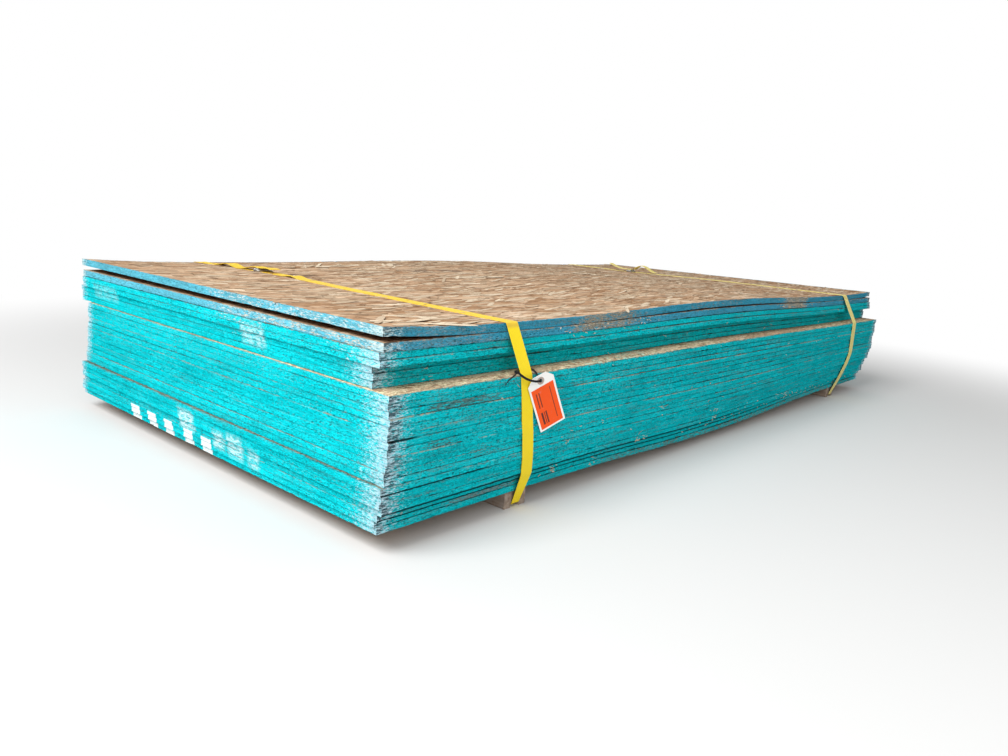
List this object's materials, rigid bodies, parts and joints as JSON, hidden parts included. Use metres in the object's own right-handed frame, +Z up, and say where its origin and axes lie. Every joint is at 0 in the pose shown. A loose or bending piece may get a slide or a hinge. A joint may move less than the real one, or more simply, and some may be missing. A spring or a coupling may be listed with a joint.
{
  "type": "stack of oriented strand board",
  "caption": "Strapped stack of oriented strand board sheets, unevenly squared and sagging, on two grooved runners, with woven straps, wire buckles and a hanging tag.",
  "frame": {"origin": "middle of the footprint, on the floor under the runners", "axes": "+X along the sheets' length, +Y across them away from the tagged side, +Z up"},
  "size_m": [2.466, 1.3024, 0.409],
  "materials": {
    "board_teal_edge": "strand board with tan faces and worn teal edge paint",
    "board_blue_edge": "strand board with tan faces and worn light blue edge paint",
    "runner_softwood": "rough sawn, greyed",
    "strap_webbing": "woven polyester cord strapping",
    "buckle_wire": "galvanised wire",
    "tag_card": "matt card with a plain coloured panel",
    "tag_eyelet": "pressed fibre ring",
    "tie_nylon": "black nylon"
  },
  "bodies": {
    "root": {"buckle_far": "buckle_wire", "buckle_near": "buckle_wire", "cable_tie": "tie_nylon", "panel_01": "board_teal_edge", "panel_02": "board_teal_edge", "panel_03": "board_teal_edge", "panel_04": "board_teal_edge", "panel_05": "board_teal_edge", "panel_06": "board_teal_edge", "panel_07": "board_teal_edge", "panel_08": "board_teal_edge", "panel_09": "board_teal_edge", "panel_10": "board_teal_edge", "panel_11": "board_teal_edge", "panel_12": "board_teal_edge", "panel_13": "board_teal_edge", "panel_14": "board_teal_edge", "panel_15": "board_teal_edge", "panel_16": "board_teal_edge", "panel_17": "board_teal_edge", "panel_18": "board_teal_edge", "panel_19": "board_teal_edge", "panel_20": "board_teal_edge", "panel_21": "board_teal_edge", "panel_22": "board_teal_edge", "panel_23": "board_teal_edge", "panel_24": "board_teal_edge", "panel_25": "board_blue_edge", "panel_26": "board_blue_edge", "runner_far": "runner_softwood", "runner_near": "runner_softwood", "strap_far": "strap_webbing", "strap_near": "strap_webbing", "tag_card": "tag_card", "tag_eyelet": "tag_eyelet"}
  },
  "joints": []
}
